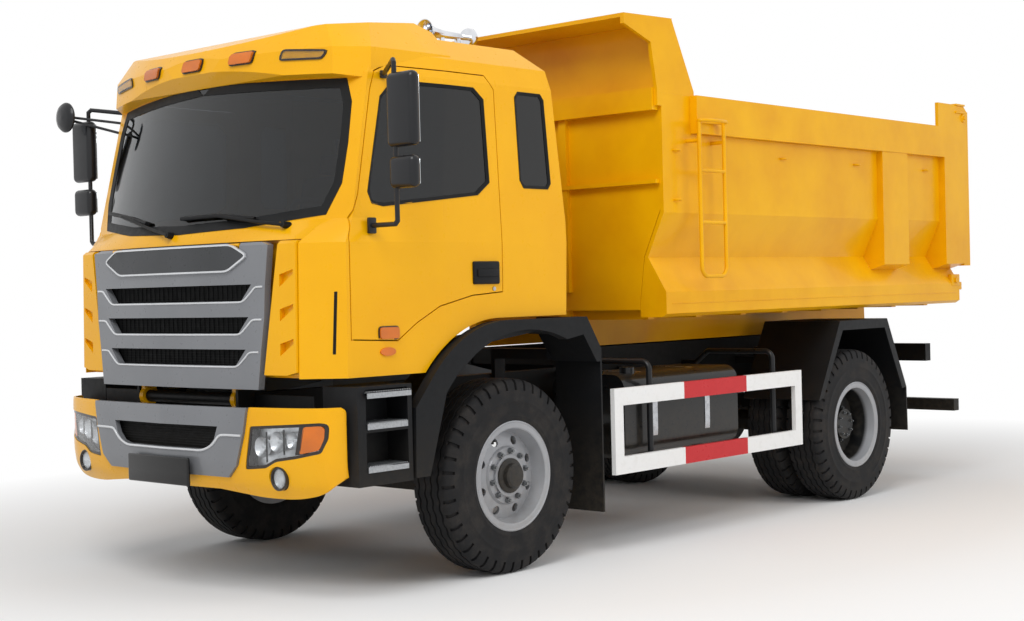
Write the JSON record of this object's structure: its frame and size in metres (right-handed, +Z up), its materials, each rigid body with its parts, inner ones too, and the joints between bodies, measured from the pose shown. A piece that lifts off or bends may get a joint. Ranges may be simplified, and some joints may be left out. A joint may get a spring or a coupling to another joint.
{
  "type": "mining dump truck",
  "caption": "Two-axle cab-over dump truck with a tilting cab, lifting front panel, swinging doors, steered front wheels and a rear-tipping steel load bed with top-hung tailgate.",
  "frame": {"origin": "middle of the overall length and width, on the ground the tyres stand on", "axes": "+Z up, -Y towards the front of the truck, +X towards its left side"},
  "size_m": [2.93, 6.65, 3.131],
  "materials": {
    "frame_black": "satin",
    "engine_grey": "matt",
    "tank_black": "satin",
    "body_yellow": "gloss",
    "trim_grey": "satin",
    "lamp_lens": "gloss",
    "plastic_black": "satin",
    "guard_white": "gloss",
    "glass_tinted": "gloss",
    "seat_fabric": "matt",
    "horn_chrome": "polished",
    "rod_chrome": "polished",
    "tyre_rubber": "matt",
    "rim_silver": "satin"
  },
  "bodies": {
    "chassis": {"frame_rails": "frame_black", "hoist_subframe": "frame_black", "power_unit": "engine_grey", "front_axle": "frame_black", "rear_axle": "frame_black", "prop_shaft": "frame_black", "fuel_tank": "tank_black", "air_tanks": "frame_black", "battery_box": "tank_black", "silencer": "frame_black", "front_bumper": "body_yellow", "bumper_insert": "trim_grey", "front_lamps": "lamp_lens", "step_panels": "plastic_black", "front_fenders": "plastic_black", "side_guards": "guard_white", "rear_mudguards": "plastic_black", "rear_beams": "frame_black"},
    "cab": {"cab_shell": "body_yellow", "roof_visor": "body_yellow", "cab_cheeks": "body_yellow", "windshield": "glass_tinted", "cab_windows": "glass_tinted", "dashboard": "plastic_black", "seats": "seat_fabric", "roof_horn": "horn_chrome"},
    "front_panel": {"grille": "trim_grey"},
    "door_left": {"door_left": "body_yellow", "door_glass_left": "glass_tinted", "mirrors_left": "plastic_black"},
    "door_right": {"door_right": "body_yellow", "door_glass_right": "glass_tinted", "mirrors_right": "plastic_black"},
    "bed": {"bed_floor": "body_yellow", "bed_side_left": "body_yellow", "bed_side_right": "body_yellow", "headboard": "body_yellow", "canopy": "body_yellow", "ladder": "body_yellow"},
    "tailgate": {"tailgate": "body_yellow"},
    "hoist_barrel": {"hoist_barrel": "frame_black"},
    "hoist_rod": {"hoist_rod": "rod_chrome"},
    "knuckle_left": {"knuckle_left": "frame_black"},
    "knuckle_right": {"knuckle_right": "frame_black"},
    "tie_rod": {"tie_rod": "frame_black"},
    "wheel_front_left": {"tyre_front_left": "tyre_rubber", "rim_front_left": "rim_silver"},
    "wheel_front_right": {"tyre_front_right": "tyre_rubber", "rim_front_right": "rim_silver"},
    "wheels_rear_left": {"tyres_rear_left": "tyre_rubber", "rims_rear_left": "rim_silver"},
    "wheels_rear_right": {"tyres_rear_right": "tyre_rubber", "rims_rear_right": "rim_silver"}
  },
  "joints": [
    {"name": "cab_tilt", "type": "hinge", "parent": "chassis", "child": "cab", "pos_m": [0, -3.115, 1], "axis": [1, 0, 0], "range_deg": [0, 45]},
    {"name": "front_panel_lift", "type": "hinge", "parent": "cab", "child": "front_panel", "pos_m": [0, -3.21, 1.785], "axis": [-1, 0, 0], "range_deg": [0, 60]},
    {"name": "door_left_swing", "type": "hinge", "parent": "cab", "child": "door_left", "pos_m": [1.117, -2.985, 1.7], "axis": [0, 0, -1], "range_deg": [0, 70]},
    {"name": "door_right_swing", "type": "hinge", "parent": "cab", "child": "door_right", "pos_m": [-1.117, -2.985, 1.7], "axis": [0, 0, 1], "range_deg": [0, 70]},
    {"name": "bed_tip", "type": "hinge", "parent": "chassis", "child": "bed", "pos_m": [0, 3.085, 1.12], "axis": [-1, 0, 0], "range_deg": [0, 45]},
    {"name": "tailgate_swing", "type": "hinge", "parent": "bed", "child": "tailgate", "pos_m": [0, 3.247, 2.76], "axis": [1, 0, 0], "range_deg": [0, 60]},
    {"name": "hoist_swing", "type": "hinge", "parent": "chassis", "child": "hoist_barrel", "pos_m": [0, 1.435, 0.86], "axis": [-1, 0, 0], "range_deg": [0, 65.5]},
    {"name": "hoist_stroke", "type": "slide", "parent": "hoist_barrel", "child": "hoist_rod", "axis": [0, -0.9724, 0.2334], "range_m": [0, 1.0692]},
    {"name": "steer_left", "type": "hinge", "parent": "chassis", "child": "knuckle_left", "pos_m": [0.83, -1.865, 0.525], "axis": [0, 0, 1], "range_deg": [-35, 35]},
    {"name": "steer_right", "type": "hinge", "parent": "chassis", "child": "knuckle_right", "pos_m": [-0.83, -1.865, 0.525], "axis": [0, 0, 1], "range_deg": [-35, 35]},
    {"name": "tie_rod_swing", "type": "hinge", "parent": "knuckle_left", "child": "tie_rod", "pos_m": [0.79, -1.675, 0.4], "axis": [0, 0, 1], "range_deg": [-35, 35]},
    {"name": "wheel_front_left_roll", "type": "hinge", "parent": "knuckle_left", "child": "wheel_front_left", "pos_m": [1.01, -1.865, 0.525], "axis": [1, 0, 0], "continuous": true},
    {"name": "wheel_front_right_roll", "type": "hinge", "parent": "knuckle_right", "child": "wheel_front_right", "pos_m": [-1.01, -1.865, 0.525], "axis": [1, 0, 0], "continuous": true},
    {"name": "wheels_rear_left_roll", "type": "hinge", "parent": "chassis", "child": "wheels_rear_left", "pos_m": [0.915, 1.635, 0.525], "axis": [1, 0, 0], "continuous": true},
    {"name": "wheels_rear_right_roll", "type": "hinge", "parent": "chassis", "child": "wheels_rear_right", "pos_m": [-0.915, 1.635, 0.525], "axis": [1, 0, 0], "continuous": true}
  ],
  "couplings": [
    {"joint": "hoist_swing", "follows": "bed_tip", "ratio": 1.4511},
    {"joint": "hoist_stroke", "follows": "bed_tip", "m_per_rad": 1.3563},
    {"joint": "steer_right", "follows": "steer_left", "ratio": 1},
    {"joint": "tie_rod_swing", "follows": "steer_left", "ratio": -1}
  ]
}
